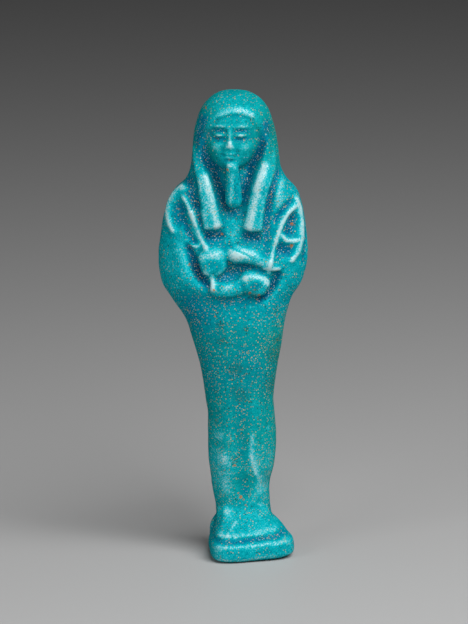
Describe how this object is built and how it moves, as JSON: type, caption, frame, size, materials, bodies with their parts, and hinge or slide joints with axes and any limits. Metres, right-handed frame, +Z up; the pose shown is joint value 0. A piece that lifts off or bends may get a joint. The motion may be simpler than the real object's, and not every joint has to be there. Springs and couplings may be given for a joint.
{
  "type": "ushabti figurine",
  "caption": "Small mummiform tomb figurine of turquoise glazed faience, with a long wig, false beard, and crossed fists holding a crook and a flail; stands on its foot.",
  "frame": {"origin": "middle of the flat underside of the foot", "axes": "+Z up along the body, the face towards -Y, +X to the figure's own left"},
  "size_m": [0.038, 0.0263, 0.1195],
  "materials": {
    "faience": "glossy turquoise glaze, deep blue where it pooled, with pinholes and specks"
  },
  "bodies": {
    "root": {"figurine": "faience"}
  },
  "joints": []
}
